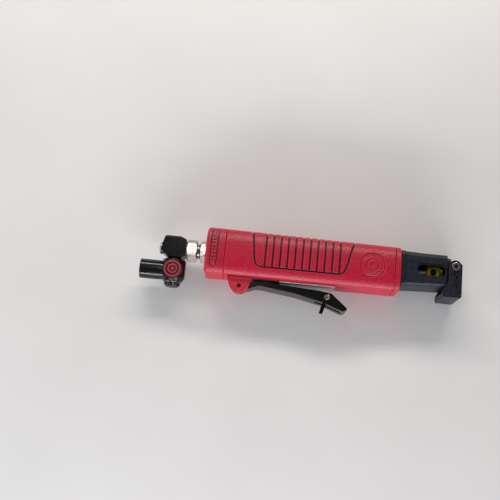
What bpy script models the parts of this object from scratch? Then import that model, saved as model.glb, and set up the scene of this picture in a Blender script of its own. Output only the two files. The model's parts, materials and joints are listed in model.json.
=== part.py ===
"""Compact pneumatic reciprocating air saw with a two-axis swivel inlet, lying on its side.

+X runs from the inlet to the nose, the lever is on the -Y side and +Z is up.
Run with: blender --background --python part.py
"""

import math

import bmesh
import bpy
from mathutils import Matrix, Vector

MM = 0.001
GAP = 0.3  # between touching pieces
SIDES = 24  # segments of a large round piece
SMALL_SIDES = 16

# Tool axis: every length below is in millimetres from it.
AXIS_HEIGHT = 16.8  # of the tool axis above the surface it lies on

# Housing
HOUSING_REAR = -72.0
HOUSING_FRONT = 72.0
CAP_LENGTH = 14.4
COLLAR_LENGTH = 4.2
SECTION_Y = 17.6
SECTION_Z = 17.0
SECTION_POWER = 3.0
LEVER_FACE_Y = -17.4
LOWER_Y = 20.2  # the section's reach below its axis, before the flat cuts it
REST_FACE_Z = -AXIS_HEIGHT
REAR_SCALE = 1.05
FRONT_SCALE = 0.945
BORE_RADIUS = 12.6
LAND_X = (-54.3, 25.9)  # the raised land that carries the lever
LAND_FACE_Y = -17.9
LAND_HALF_Z = 8.9

# Grip grooves
GROOVE_COUNT = 11
GROOVE_PITCH = 5.46
GROOVE_WIDTH = 1.1
GROOVE_DEPTH = 0.6
GROOVE_FIRST_X = -27.6
GROOVE_LOW_Y = -10.4

# Lever, its ears and the safety catch
PIVOT_X = -45.2
PIVOT_Y = -24.6
EAR_INNER_Z = 6.6
EAR_OUTER_Z = 9.4
PIN_RADIUS = 1.3
LEVER_HALF_WIDTH = 8.6
LEVER_ROOT_HALF_WIDTH = 6.2
LEVER_SHEET = 1.3
CATCH_X = PIVOT_X + 65.6
CATCH_Y = PIVOT_Y - 2.4
CATCH_LEG = 5.0
CATCH_TAB = 11.6
CATCH_HALF_WIDTH = 1.9

# Throttle valve
STEM_X = PIVOT_X + 20.0
STEM_RADIUS = 1.5

# Percussion parts
CYLINDER_REAR = -11.7
CYLINDER_FRONT = 52.0
CYLINDER_OUTER = 12.2
CYLINDER_INNER = 9.5
PISTON_RADIUS = 9.1
ROD_RADIUS = 4.5
PISTON_REAR = 12.0
PISTON_FRONT = 42.0
CHUCK_REAR = 92.9
CHUCK_FRONT = 104.3
CHUCK_RADIUS = 6.8
CHUCK_SCREW_X = 97.2

# Nose and shoe
NOSE_REAR = 72.4
NOSE_FRONT = 105.9
NOSE_FACE = 109.4
NOSE_HALF_Z = 13.8
CAVITY_RADIUS = 9.0
CAVITY_X = (76.5, 106.6)
WINDOW_X = (84.6, 105.2)
WINDOW_HALF_Y = 4.2
BLADE_SLOT_HALF_Y = 8.4
BLADE_SLOT_HALF_Z = 2.7
SHOE_PIVOT_X = 111.8
SHOE_PIVOT_Y = 4.1
SHOE_FRONT = 117.0
SHOE_LOW_Y = -18.8
CHEEK_INNER_Z = 9.8
CHEEK_OUTER_Z = 13.6
LUG_INNER_Z = 5.4
LUG_OUTER_Z = 9.4

# Swivel inlet
HEX_FLATS = 15.0
BUSHING_HEX = (-76.6, -72.3)
STEM_HEX = (-86.8, -79.1)
HEAD_LEFT = -105.2
HEAD_RIGHT = -87.2
SPINDLE_RADIUS = 4.5
SWING_X = -95.3
HEAD_HALF_Z = 8.2
SPIGOT_RADIUS = 5.6
BARREL_RADIUS = 8.8
BARREL_TOP_Y = -8.6
BARREL_LOW_Y = -25.0
PORT_Y = -16.8
PORT_END = -120.2
PORT_RADIUS = 7.3
PORT_BORE = 5.6
BADGE_RADIUS = 7.3
KNOB_RADIUS = 6.1

RED = (0.42, 0.012, 0.03, 1)
BLACK = (0.012, 0.012, 0.014, 1)
CHARCOAL = (0.035, 0.038, 0.047, 1)
STEEL = (0.62, 0.58, 0.54, 1)
BRASS = (0.72, 0.5, 0.12, 1)
RUBBER = (0.02, 0.02, 0.02, 1)
FELT = (0.35, 0.34, 0.3, 1)
PALE = (0.6, 0.6, 0.6, 1)
BADGE_RED = (0.55, 0.02, 0.06, 1)


def clear_scene():
    for obj in list(bpy.data.objects):
        bpy.data.objects.remove(obj, do_unlink=True)


def new_collection(name, hidden=False):
    collection = bpy.data.collections.new(name)
    bpy.context.scene.collection.children.link(collection)
    collection.hide_render = hidden
    return collection


clear_scene()
PARTS = new_collection("air_saw")
CUTTERS = new_collection("cutters", hidden=True)
MATERIALS = {}


def finish(name, colour, roughness, metallic=0.0):
    """The named Principled material, made once."""
    if name not in MATERIALS:
        material = bpy.data.materials.new(name)
        material.use_nodes = True
        shader = material.node_tree.nodes["Principled BSDF"]
        shader.inputs["Base Color"].default_value = colour
        shader.inputs["Roughness"].default_value = roughness
        shader.inputs["Metallic"].default_value = metallic
        MATERIALS[name] = material
    return MATERIALS[name]


def red_enamel():
    return finish("red_enamel", RED, 0.45)


def black_steel():
    return finish("black_steel", BLACK, 0.4, 0.3)


def charcoal_cast():
    return finish("charcoal_cast", CHARCOAL, 0.6)


def black_composite():
    return finish("black_composite", BLACK, 0.3)


def bright_steel():
    return finish("bright_steel", STEEL, 0.3, 1.0)


def ground_steel():
    return finish("ground_steel", (0.4, 0.4, 0.41, 1), 0.35, 1.0)


def brass():
    return finish("brass", BRASS, 0.3, 1.0)


def seal_rubber():
    return finish("seal_rubber", RUBBER, 0.7)


def felt():
    return finish("felt", FELT, 0.95)


def pale_metal():
    return finish("pale_metal", PALE, 0.4, 0.6)


def badge_print():
    return finish("badge_print", BADGE_RED, 0.35)


def add_object(name, mesh, material=None):
    """A part with a material, or a hidden cutter without one."""
    obj = bpy.data.objects.new(name, mesh)
    if material:
        mesh.materials.append(material)
        PARTS.objects.link(obj)
    else:
        CUTTERS.objects.link(obj)
        obj.hide_render = True
        obj.display_type = "WIRE"
    return obj


def mesh_from(name, edit):
    mesh = bpy.data.meshes.new(name)
    bmesh.ops.recalc_face_normals(edit, faces=edit.faces[:])
    edit.to_mesh(mesh)
    edit.free()
    return mesh


def at(x, y, z=0.0):
    """A point measured from the tool axis, as a world position in metres."""
    return Vector((x, y, z + AXIS_HEIGHT)) * MM


def box(name, low, high, material=None):
    """A box between two corners, its origin at its middle."""
    low, high = Vector(low), Vector(high)
    edit = bmesh.new()
    bmesh.ops.create_cube(edit, size=1.0)
    bmesh.ops.scale(edit, vec=(high - low) * MM, verts=edit.verts[:])
    obj = add_object(name, mesh_from(name, edit), material)
    obj.location = at(*((low + high) / 2))
    return obj


TURN = {"x": (0, math.radians(90), 0), "y": (math.radians(-90), 0, 0), "z": (0, 0, 0)}


def place(obj, centre, axis):
    obj.location = at(*centre)
    obj.rotation_euler = TURN[axis]
    return obj


def cylinder(name, radius, low, high, axis, centre, material=None, sides=SMALL_SIDES, spin=0.0):
    """A cylinder from low to high along an axis through centre."""
    edit = bmesh.new()
    bmesh.ops.create_cone(
        edit,
        cap_ends=True,
        segments=sides,
        radius1=radius * MM,
        radius2=radius * MM,
        depth=(high - low) * MM,
        matrix=Matrix.Translation((0, 0, (low + high) / 2 * MM)) @ Matrix.Rotation(spin, 4, "Z"),
    )
    return place(add_object(name, mesh_from(name, edit), material), centre, axis)


def turned(name, profile, axis, centre, material=None, sides=SIDES):
    """A closed profile of (radius, height) turned round an axis: it runs down the outer side."""
    mesh = bpy.data.meshes.new(name)
    points = [(radius * MM, 0, height * MM) for radius, height in profile]
    count = len(points)
    closed = profile[0][0] > 0 or profile[-1][0] > 0
    edges = [(i, (i + 1) % count) for i in range(count if closed else count - 1)]
    mesh.from_pydata(points, edges, [])
    obj = place(add_object(name, mesh, material), centre, axis)
    screw = obj.modifiers.new("Turn", "SCREW")
    screw.axis = "Z"
    screw.steps = sides
    screw.render_steps = sides
    screw.use_merge_vertices = True
    screw.merge_threshold = 0.00001
    screw.use_smooth_shade = True
    return obj


def ring(name, inner, outer, low, high, axis, centre, material=None, sides=SIDES):
    profile = [(outer, high), (outer, low), (inner, low), (inner, high)]
    return turned(name, profile, axis, centre, material, sides)


def arc(centre, radius, start, end, steps):
    """Points on an arc, angles in degrees."""
    points = []
    for step in range(steps + 1):
        angle = math.radians(start + (end - start) * step / steps)
        points.append((centre[0] + radius * math.cos(angle), centre[1] + radius * math.sin(angle)))
    return points


def plate(name, outlines, low_z, high_z, centre=(0, 0), material=None):
    """Flat outlines in XY, the later ones holes, as a solid from low_z to high_z."""
    curve = bpy.data.curves.new(name, "CURVE")
    curve.dimensions = "2D"
    curve.fill_mode = "BOTH"
    curve.extrude = (high_z - low_z) / 2 * MM
    for outline in outlines:
        spline = curve.splines.new("POLY")
        spline.points.add(len(outline) - 1)
        for point, (x, y) in zip(spline.points, outline):
            point.co = (x * MM, y * MM, 0, 1)
        spline.use_cyclic_u = True
    source = bpy.data.objects.new(name + "_outline", curve)
    bpy.context.scene.collection.objects.link(source)
    graph = bpy.context.evaluated_depsgraph_get()
    mesh = bpy.data.meshes.new_from_object(source.evaluated_get(graph))
    bpy.data.objects.remove(source, do_unlink=True)
    edit = bmesh.new()
    edit.from_mesh(mesh)
    bmesh.ops.remove_doubles(edit, verts=edit.verts[:], dist=1e-6)
    obj = add_object(name, mesh_from(name, edit), material)
    obj.location = at(centre[0], centre[1], (low_z + high_z) / 2)
    return obj


def loft(name, sections, material=None):
    """A closed solid through sections, each an x and a list of (y, z)."""
    edit = bmesh.new()
    rings = []
    for x, outline in sections:
        rings.append([edit.verts.new(Vector((x, y, z)) * MM) for y, z in outline])
    for near, far in zip(rings, rings[1:]):
        for i in range(len(near)):
            j = (i + 1) % len(near)
            edit.faces.new((near[i], near[j], far[j], far[i]))
    edit.faces.new(rings[0])
    edit.faces.new(rings[-1])
    obj = add_object(name, mesh_from(name, edit), material)
    obj.location = at(0, 0)
    return obj


def boolean(obj, operation, others):
    for other in others:
        modifier = obj.modifiers.new(other.name, "BOOLEAN")
        modifier.operation = operation
        modifier.solver = "EXACT"
        modifier.object = other
    return obj


def cut(obj, *cutters):
    return boolean(obj, "DIFFERENCE", cutters)


def join(obj, *added):
    return boolean(obj, "UNION", added)


def ride_on(child, parent):
    """Parents a piece to the piece it moves with, leaving it where it is."""
    bpy.context.view_layer.update()
    child.parent = parent
    child.matrix_parent_inverse = parent.matrix_world.inverted()


def housing_scale(x):
    travel = (x - HOUSING_REAR) / (HOUSING_FRONT - HOUSING_REAR)
    return REAR_SCALE + (FRONT_SCALE - REAR_SCALE) * travel


def housing_outline(x, shrink=0.0, steps=28):
    """The grip's crowned section with its flat lever face, as (y, z) points."""
    upper_y, lower_y = SECTION_Y * housing_scale(x) - shrink, LOWER_Y - shrink
    half_z = SECTION_Z - shrink
    low_y = LEVER_FACE_Y + shrink
    corner = math.asin((-low_y / lower_y) ** (SECTION_POWER / 2))
    points = []
    for step in range(steps + 1):
        angle = -corner + (math.pi + 2 * corner) * step / steps
        sine, cosine = math.sin(angle), math.cos(angle)
        y = abs(sine) ** (2 / SECTION_POWER) * (upper_y if sine > 0 else -lower_y)
        z = math.copysign(abs(cosine) ** (2 / SECTION_POWER), cosine) * half_z
        points.append((max(y, low_y), max(z, REST_FACE_Z)))
    return points


def housing_length(name, rear, front, material):
    """A length of the grip with a small bevel at each end."""
    bevel = 0.5
    sections = [(rear, housing_outline(rear, bevel))]
    sections.append((rear + bevel, housing_outline(rear + bevel)))
    sections.append((front - bevel, housing_outline(front - bevel)))
    sections.append((front, housing_outline(front, bevel)))
    return loft(name, sections, material)


def groove_cutters():
    """One groove's slab, with the grip's core as its hole, repeated along the grip."""
    core = housing_outline(0, GROOVE_DEPTH)
    reach, low_z = 22.0, REST_FACE_Z + 1.4
    window = [(GROOVE_LOW_Y, reach), (reach, reach), (reach, low_z), (GROOVE_LOW_Y, low_z)]
    slab = loft("groove_slab", [(-GROOVE_WIDTH / 2, window), (GROOVE_WIDTH / 2, window)])
    middle = loft("groove_core", [(-2, core), (2, core)])
    slab.location = at(GROOVE_FIRST_X, 0)
    middle.location = at(GROOVE_FIRST_X, 0)
    cut(slab, middle)
    array = slab.modifiers.new("Grooves", "ARRAY")
    array.count = GROOVE_COUNT
    array.use_relative_offset = False
    array.use_constant_offset = True
    array.constant_offset_displace = (GROOVE_PITCH * MM, 0, 0)
    return slab


def ear_outline(depth):
    """A lever lug reaching depth below its pin, in the pivot's own coordinates."""
    bow = arc((0, 7.5 - depth), 7.5, 200, 340, 12)
    return [(-9.4, 9.5), (-8.7, 4.4), *bow, (8.7, 4.4), (9.4, 9.5)]


def make_housing():
    rear = HOUSING_REAR + CAP_LENGTH
    front = HOUSING_FRONT - COLLAR_LENGTH
    housing = housing_length("housing", rear + GAP / 2, front - GAP / 2, red_enamel())
    pivot = (PIVOT_X, PIVOT_Y)
    low, high = (LAND_X[0], LAND_FACE_Y, -LAND_HALF_Z), (LAND_X[1], -14.0, LAND_HALF_Z)
    join(housing, box("lever_land", low, high))
    for side, low, depth in (("near", EAR_INNER_Z, 5.1), ("far", -EAR_OUTER_Z, 3.2)):
        high = low + EAR_OUTER_Z - EAR_INNER_Z
        join(housing, plate("ear_" + side, [ear_outline(depth)], low, high, pivot))
    cut(
        housing,
        cylinder("bore", BORE_RADIUS, -80, 90, "x", (0, 0), sides=SIDES),
        cylinder("pin_hole", PIN_RADIUS + GAP, -12, 12, "z", pivot),
        cylinder("bush_hole", 4.2, -24, -8, "y", (STEM_X, 0)),
        groove_cutters(),
    )
    return housing


def make_rear_cap():
    seam = HOUSING_REAR + CAP_LENGTH - GAP / 2
    cap = housing_length("rear_cap", HOUSING_REAR, seam, red_enamel())
    return cut(cap, cylinder("cap_bore", 8.3, -80, -50, "x", (0, 0), sides=SIDES))


def make_front_collar():
    seam = HOUSING_FRONT - COLLAR_LENGTH + GAP / 2
    collar = housing_length("front_collar", seam, HOUSING_FRONT, red_enamel())
    return cut(collar, cylinder("collar_bore", BORE_RADIUS, 60, 80, "x", (0, 0), sides=SIDES))


def make_label_plate():
    return box("label_plate", (-15.3, -18.8, -8.6), (25.6, -18.2, 8.6), pale_metal())


def lever_profile():
    """Side of the pressed lever, in the pivot's own coordinates."""
    root = arc((0, 0), 3.1, 90, 300, 12)
    lower = [(8.0, -0.8), (14.0, 1.6), (42.0, -1.9), (62.0, -6.2), (77.5, -11.6)]
    tip = [(80.4, -10.6), (80.6, -9.0)]
    upper = [(68.5, 0.9), (60.0, 2.1), (30.0, 3.8), (12.0, 4.9)]
    return root + lower + tip + upper


def make_lever():
    pivot = (PIVOT_X, PIVOT_Y)
    profile = lever_profile()
    lever = plate("lever", [profile], -LEVER_HALF_WIDTH, LEVER_HALF_WIDTH, pivot, black_steel())
    inner = LEVER_HALF_WIDTH - LEVER_SHEET
    hollow = [(15.0, 10.0), (15.0, 2.8), (42.0, -0.6), (62.0, -4.9), (77.2, -10.1), (77.2, 10.0)]
    cheeks = []
    for side, low in (("near", LEVER_ROOT_HALF_WIDTH), ("far", -12.0)):
        high = low + 12.0 - LEVER_ROOT_HALF_WIDTH
        shoulder = box("lever_shoulder_" + side, (-60, -34, low), (PIVOT_X + 11.5, -14, high))
        cheeks.append(shoulder)
    cut(
        lever,
        *cheeks,
        plate("lever_hollow", [hollow], -inner, inner, pivot),
        box("tab_slot", (PIVOT_X + 57, PIVOT_Y - 15, -2.5), (PIVOT_X + 76.4, PIVOT_Y - 2.6, 2.5)),
        cylinder("lever_pin_hole", PIN_RADIUS + GAP, -12, 12, "z", pivot),
        cylinder("catch_pin_hole", 1.3, -12, 12, "z", (CATCH_X, CATCH_Y)),
    )
    return lever


def catch_outline():
    """Blocking leg towards the grip, round hub, and finger tab away from it."""
    half_leg = 0.6
    half_tab = 1.7
    lean = Vector((-0.324, -0.946))
    across = Vector((lean.y, -lean.x)) * half_tab
    near_hub = lean * 1.6
    tip = lean * CATCH_TAB
    right = [tuple(near_hub - across), tuple(tip - across * 0.75)]
    left = [tuple(tip + across * 0.75), tuple(near_hub + across)]
    leg = [(-half_leg, 2.0), (-half_leg, CATCH_LEG), (half_leg, CATCH_LEG), (half_leg, 2.0)]
    return left + arc((0, 0), 2.1, 190, 108, 5) + leg + arc((0, 0), 2.1, 72, -40, 7) + right


def make_safety_catch():
    return cut(
        plate(
            "safety_catch",
            [catch_outline()],
            -CATCH_HALF_WIDTH,
            CATCH_HALF_WIDTH,
            (CATCH_X, CATCH_Y),
            black_steel(),
        ),
        cylinder("catch_bore", 1.3, -5, 5, "z", (CATCH_X, CATCH_Y)),
    )


def make_lever_group():
    pivot = (PIVOT_X, PIVOT_Y)
    cylinder("lever_pin", PIN_RADIUS, -9.0, 9.0, "z", pivot, ground_steel(), 16)
    lever = make_lever()
    head = 2.1
    rod = 1.0
    profile = [(0, 9.8), (head, 9.6), (head, 8.9), (rod, 8.9)]
    profile += [(rod, -8.9), (head, -8.9), (head, -9.6), (0, -9.8)]
    pin = turned("catch_pin", profile, "z", (CATCH_X, CATCH_Y), bright_steel(), 16)
    ride_on(pin, lever)
    ride_on(make_safety_catch(), lever)


def make_throttle():
    here = (STEM_X, 0)
    ring("throttle_bush", 1.9, 3.9, -19.4, -12.9, "y", here, brass(), SMALL_SIDES)
    head = 3.2
    profile = [(0, -2.4), (head, -2.4), (head, -4.0), (STEM_RADIUS, -4.4), (STEM_RADIUS, -21.6)]
    profile += [(0, -22.1)]
    turned("throttle_stem", profile, "y", here, ground_steel(), SMALL_SIDES)
    ring("throttle_seat", 1.9, 3.9, -6.6, -4.8, "y", here, seal_rubber(), SMALL_SIDES)
    make_throttle_spring()
    cylinder("throttle_plug", 3.9, 8.2, 11.0, "y", here, brass())


def make_throttle_spring():
    """A short coil, shown at its pressed length above the valve head."""
    turns, radius, wire = 3, 2.5, 0.4
    low, high = -0.6, 7.4
    curve = bpy.data.curves.new("throttle_spring", "CURVE")
    curve.dimensions = "3D"
    curve.bevel_depth = wire * MM
    curve.bevel_resolution = 1
    curve.use_fill_caps = True
    count = turns * 8
    spline = curve.splines.new("POLY")
    spline.points.add(count)
    for step, point in enumerate(spline.points):
        angle = math.tau * turns * step / count
        height = low + (high - low) * step / count
        x, y = radius * math.cos(angle), radius * math.sin(angle)
        point.co = (x * MM, y * MM, height * MM, 1)
    obj = bpy.data.objects.new("throttle_spring", curve)
    curve.materials.append(ground_steel())
    PARTS.objects.link(obj)
    place(obj, (STEM_X, 0), "y")


def make_valves():
    rear, front = -40.0, -18.5
    block = cylinder("valve_block", 12.2, rear, front, "x", (0, 0), ground_steel(), SIDES)
    cut(
        block,
        cylinder("throttle_bore", 4.2, -20, 20, "y", (STEM_X, 0)),
        cylinder("feed_bore", 3.4, -50, STEM_X, "x", (0, 0)),
        cylinder("supply_bore", 2.2, STEM_X, -10, "x", (0, 0)),
    )
    cage = [(12.2, -12.0), (12.2, -18.2), (7.6, -18.2), (7.6, -15.0), (5.6, -15.0), (5.6, -12.0)]
    turned("valve_cage", cage, "x", (0, 0), ground_steel())
    ring("valve_disc", 1.6, 7.2, -17.9, -16.9, "x", (0, 0), ground_steel())
    rear_seat = [(12.2, -40.3), (12.2, -43.3), (5.0, -43.3), (5.0, -40.3)]
    turned("air_strainer", rear_seat, "x", (0, 0), brass())


def make_cylinder_group():
    ring(
        "cylinder",
        CYLINDER_INNER,
        CYLINDER_OUTER,
        CYLINDER_REAR,
        CYLINDER_FRONT,
        "x",
        (0, 0),
        ground_steel(),
    )
    ring("bumper", 5.2, 9.1, 46.0, 51.6, "x", (0, 0), seal_rubber())
    bush = [(12.2, 66.0), (12.2, 52.4), (4.8, 52.4), (4.8, 58.0), (6.9, 58.0), (6.9, 61.0)]
    bush += [(4.8, 61.0), (4.8, 66.0)]
    turned("front_bush", bush, "x", (0, 0), brass())
    ring("rod_seal", 4.8, 6.6, 58.3, 60.7, "x", (0, 0), seal_rubber())


def make_ram():
    """Piston, rod and chuck: the pieces that stroke together."""
    groove, land = 7.9, PISTON_RADIUS
    front, rear = PISTON_FRONT, PISTON_REAR
    profile = [(0, front), (land, front)]
    for low in (36.0, 16.0):
        profile += [(land, low + 2.2), (groove, low + 2.2), (groove, low), (land, low)]
    profile += [(land, rear), (0, rear)]
    piston = turned("piston", profile, "x", (0, 0), ground_steel())
    for name, low in (("piston_ring_front", 36.0), ("piston_ring_rear", 16.0)):
        low, high = low + GAP, low + 2.2 - GAP
        ride_on(ring(name, groove + GAP, 9.2, low, high, "x", (0, 0), ground_steel()), piston)
    rod_front, rod_rear = CHUCK_REAR - GAP, PISTON_FRONT + GAP
    rod = [(0, rod_front), (ROD_RADIUS, rod_front), (ROD_RADIUS, rod_rear), (0, rod_rear)]
    ride_on(turned("piston_rod", rod, "x", (0, 0), ground_steel(), SMALL_SIDES), piston)
    ride_on(make_chuck(), piston)
    for side, sign in (("near", 1), ("far", -1)):
        low, high = sorted((sign * 3.2, sign * 7.3))
        screw = cylinder("chuck_screw_" + side, 2.2, low, high, "z", (CHUCK_SCREW_X, 0), black_steel())
        socket = sorted((sign * 5.6, sign * 8.0))
        cut(screw, cylinder("chuck_socket_" + side, 1.2, *socket, "z", (CHUCK_SCREW_X, 0), None, 6))
        ride_on(screw, piston)


def make_chuck():
    profile = [(0, CHUCK_FRONT), (4.4, CHUCK_FRONT), (CHUCK_RADIUS, 101.2), (CHUCK_RADIUS, CHUCK_REAR)]
    profile += [(0, CHUCK_REAR)]
    chuck = turned("chuck", profile, "x", (0, 0), brass())
    return cut(
        chuck,
        box("blade_socket", (94.5, -5.2, -0.8), (110, 5.2, 0.8)),
        cylinder("screw_hole", 2.5, -9, 9, "z", (CHUCK_SCREW_X, 0)),
    )


def rounded_outline(low_y, high_y, half_z, radius, steps=4):
    """A rounded rectangle as (y, z) points."""
    points = []
    corners = ((high_y, half_z, 0), (low_y, half_z, 90), (low_y, -half_z, 180), (high_y, -half_z, 270))
    for y, z, start in corners:
        centre = (y - math.copysign(radius, y), z - math.copysign(radius, z))
        points += arc(centre, radius, start, start + 90, steps)
    return points


def make_nose():
    rear = rounded_outline(-13.3, 13.9, NOSE_HALF_Z, 4.0)
    front = rounded_outline(-11.3, 12.8, NOSE_HALF_Z, 3.6)
    tongue = rounded_outline(-10.8, 11.6, LUG_OUTER_Z, 3.0)
    nose = loft("nose", [(NOSE_REAR, rear), (NOSE_FRONT, front)], charcoal_cast())
    join(
        nose,
        cylinder("nose_spigot", 12.2, 66.4, 76, "x", (0, 0), sides=SIDES),
        loft("nose_tongue", [(98, tongue), (NOSE_FACE, tongue)]),
    )
    for side, low in (("near", LUG_INNER_Z), ("far", -LUG_OUTER_Z)):
        lug = arc((SHOE_PIVOT_X, SHOE_PIVOT_Y), 3.2, 90, -90, 10)
        lug += [(104.0, SHOE_PIVOT_Y - 3.2), (104.0, SHOE_PIVOT_Y + 3.2)]
        join(nose, plate("nose_lug_" + side, [lug], low, low + LUG_OUTER_Z - LUG_INNER_Z))
    relief = [(102.6, -20.0), (102.6, -13.4), (106.5, -6.2), (110.0, -6.2), (110.0, -20.0)]
    for side, low in (("near", LUG_OUTER_Z), ("far", -20.0)):
        cut(nose, plate("corner_relief_" + side, [relief], low, low + 20.0 - LUG_OUTER_Z))
    half = WINDOW_HALF_Y
    window = arc((WINDOW_X[0] + half, 0), half, 90, 270, 10)
    window += arc((WINDOW_X[1] - half, 0), half, -90, 90, 10)
    slot_y, slot_z = BLADE_SLOT_HALF_Y, BLADE_SLOT_HALF_Z + 0.7
    shoe_pin = (SHOE_PIVOT_X, SHOE_PIVOT_Y)
    cut(
        nose,
        cylinder("nose_cavity", CAVITY_RADIUS, *CAVITY_X, "x", (0, 0), sides=SIDES),
        cylinder("rod_way", 5.0, 60, 80, "x", (0, 0)),
        plate("window", [window], -20, 20),
        box("blade_way", (103, -slot_y, -slot_z), (125, slot_y, slot_z)),
        cylinder("shoe_screw_hole", 2.0, -12, 12, "z", shoe_pin),
    )
    return nose


def shoe_outline():
    """The guard's cheek: boss round its screw, front edge, foot and slanted rear."""
    boss = arc((SHOE_PIVOT_X, SHOE_PIVOT_Y), 5.0, 200, 60, 12)
    front = [(SHOE_FRONT, 6.0), (SHOE_FRONT, SHOE_LOW_Y)]
    rear = [(103.2, SHOE_LOW_Y), (103.2, -14.4), (107.1, -7.2), (107.1, 2.0)]
    return boss + front + rear


def make_shoe():
    shoe = plate("shoe", [shoe_outline()], -CHEEK_OUTER_Z, CHEEK_OUTER_Z, (0, 0), charcoal_cast())
    inner_low = -15.2
    inner = [(98, inner_low), (115.3, inner_low), (115.3, 20), (98, 20)]
    half_y, half_z = BLADE_SLOT_HALF_Y, BLADE_SLOT_HALF_Z
    cut(
        shoe,
        plate("shoe_inside", [inner], -CHEEK_INNER_Z, CHEEK_INNER_Z),
        box("shoe_slot", (114, -half_y, -half_z), (125, half_y, half_z)),
        box("pad_slot", (109.4, -10.6, -20), (111.3, -1.6, 20)),
        cylinder("cheek_hole", 2.0, -20, 20, "z", (SHOE_PIVOT_X, SHOE_PIVOT_Y)),
    )
    for side, low in (("near", 12.6), ("far", -15.6)):
        cut(shoe, box("cheek_groove_" + side, (112.3, -11.4, low), (113.9, -2.0, low + 3.0)))
    for side, low in (("near", 10.2), ("far", -13.2)):
        pad = box("guide_pad_" + side, (109.7, -10.3, low), (111.0, -1.9, low + 3.0), badge_print())
        ride_on(pad, shoe)


def make_shoe_screws():
    for side, sign in (("near", 1), ("far", -1)):
        head, shank = 3.1, 1.7
        profile = [(0, 15.9), (head - 0.3, 15.9), (head, 15.6), (head, 13.9), (shank, 13.9)]
        profile += [(shank, 5.8), (0, 5.8)]
        if sign < 0:
            profile = [(radius, -height) for radius, height in reversed(profile)]
        screw = turned(
            "shoe_screw_" + side, profile, "z", (SHOE_PIVOT_X, SHOE_PIVOT_Y), bright_steel(), SMALL_SIDES
        )
        socket = sorted((sign * 14.4, sign * 18.0))
        centre = (SHOE_PIVOT_X, SHOE_PIVOT_Y)
        cut(screw, cylinder("shoe_socket_" + side, 1.5, *socket, "z", centre, None, 6))


def hex_prism(name, low, high, material=None):
    """A hexagon along X with one flat facing up."""
    radius = HEX_FLATS / 2 / math.cos(math.radians(30))
    return cylinder(name, radius, low, high, "x", (0, 0), material, 6)


def make_inlet_bushing():
    bushing = hex_prism("inlet_bushing", *BUSHING_HEX, bright_steel())
    join(bushing, cylinder("bushing_thread", 8.0, -72.6, -60, "x", (0, 0), sides=SIDES))
    return cut(bushing, cylinder("bushing_bore", 6.3, -90, -50, "x", (0, 0)))


def make_swivel_stem():
    stem = hex_prism("swivel_stem", *STEM_HEX, bright_steel())
    join(
        stem,
        cylinder("stem_thread", 5.95, -82, -64, "x", (0, 0)),
        cylinder("stem_spindle", SPINDLE_RADIUS, -105.6, -84, "x", (0, 0)),
    )
    return cut(stem, cylinder("stem_bore", 2.6, -99, -50, "x", (0, 0)))


def head_outline():
    """The swivel head from above: a chamfered block that narrows towards the barrel."""
    outline = [(HEAD_LEFT + 1.6, 8.4), (HEAD_LEFT + 2.6, 9.1), (HEAD_RIGHT - 5.0, 9.1)]
    outline += [(HEAD_RIGHT, 6.4), (HEAD_RIGHT, -3.0), (SWING_X + 5.2, -8.0)]
    return outline + [(SWING_X - 4.6, -8.0), (HEAD_LEFT, -2.9), (HEAD_LEFT, 1.8)]


def make_swivel_head():
    head = plate("swivel_head", [head_outline()], -HEAD_HALF_Z, HEAD_HALF_Z, (0, 0), black_composite())
    bore = SPINDLE_RADIUS + GAP
    seal = bore + 1.1
    edges = [(0, -85.0), (bore, -85.0)]
    for low in (-92.0, -101.0):
        edges += [(bore, low + 2.2), (seal, low + 2.2), (seal, low), (bore, low)]
    edges += [(bore, -106.0), (0, -106.0)]
    join(
        head,
        cylinder("spigot", SPIGOT_RADIUS, BARREL_LOW_Y, -5, "y", (SWING_X, 0), sides=SMALL_SIDES),
        cylinder("spigot_end", 3.6, -26.3, -20, "y", (SWING_X, 0), sides=SMALL_SIDES),
    )
    cut(
        head,
        turned("head_bore", edges, "x", (0, 0), sides=SIDES),
        cylinder("air_way", 2.7, -30, 0, "y", (SWING_X, 0)),
        cylinder("port_way", 2.0, -20, 0, "x", (SWING_X, PORT_Y)),
    )
    for name, low in (("head_seal_front", -92.0), ("head_seal_rear", -101.0)):
        inner, outer = bore, seal - GAP
        seal_ring = ring(name, inner, outer, low + GAP, low + 2.2 - GAP, "x", (0, 0), seal_rubber())
        ride_on(seal_ring, head)
    return head


def make_swivel_body():
    bore = SPIGOT_RADIUS + GAP
    low, top = BARREL_LOW_Y, BARREL_TOP_Y
    profile = [(BARREL_RADIUS - 0.8, top), (BARREL_RADIUS, top - 0.8), (BARREL_RADIUS, low + 3.0)]
    profile += [(6.8, low), (bore, low), (bore, top)]
    body = turned("swivel_body", profile, "y", (SWING_X, 0), black_composite())
    join(
        body,
        cylinder("port_tube", PORT_RADIUS, PORT_END, SWING_X - 7, "x", (0, PORT_Y), sides=SIDES),
        cylinder("badge_boss", BADGE_RADIUS, 7, 9.4, "z", (SWING_X, PORT_Y), sides=SIDES),
    )
    cut(
        body,
        cylinder("port_bore", PORT_BORE, -130, SWING_X - 8.4, "x", (0, PORT_Y), sides=SIDES),
        cylinder("port_throat", 2.4, -110, SWING_X - 4, "x", (0, PORT_Y)),
        cylinder("barrel_bore", bore, -30, 0, "y", (SWING_X, 0), sides=SIDES),
    )
    badge = cylinder("badge_cap", BADGE_RADIUS, 9.7, 10.5, "z", (SWING_X, PORT_Y), badge_print(), SIDES)
    ride_on(badge, body)
    return body


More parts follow.
